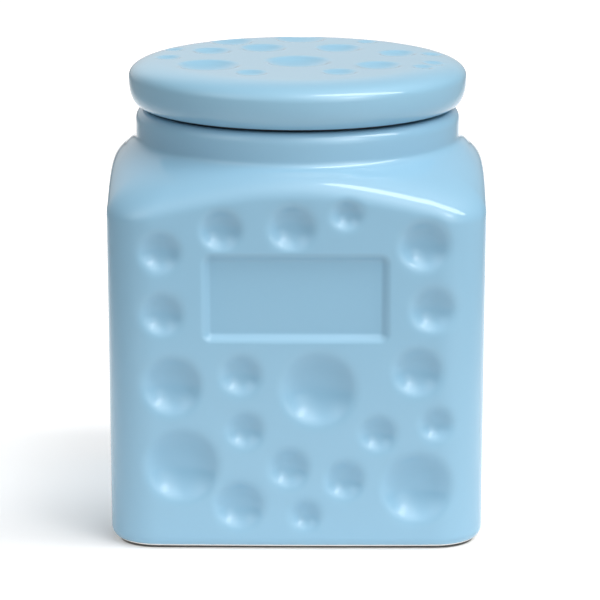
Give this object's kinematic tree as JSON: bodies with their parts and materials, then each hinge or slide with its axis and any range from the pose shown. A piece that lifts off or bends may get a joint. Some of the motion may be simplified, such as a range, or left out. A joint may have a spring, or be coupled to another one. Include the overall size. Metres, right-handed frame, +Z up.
{
  "type": "storage jar",
  "caption": "Square glazed ceramic storage jar with dimpled faces, a blank label recess, a round neck and a round lift-off lid with a soft seal.",
  "frame": {"origin": "middle of the base, on the surface that the foot ring stands on", "axes": "+Z up through the neck and lid, -Y out of the front face with the label recess, +X to the right of it"},
  "size_m": [0.1468, 0.1468, 0.1803],
  "materials": {
    "body_glaze": "glossy light blue glaze",
    "lid_glaze": "glossy light blue glaze",
    "seal_silicone": "matt black silicone"
  },
  "bodies": {
    "jar": {"jar_body": "body_glaze"},
    "lid_set": {"lid": "lid_glaze", "lid_seal": "seal_silicone"}
  },
  "joints": [
    {"name": "lid_lift", "type": "slide", "parent": "jar", "child": "lid_set", "axis": [0, 0, 1], "range_m": [0, 0.1]}
  ]
}
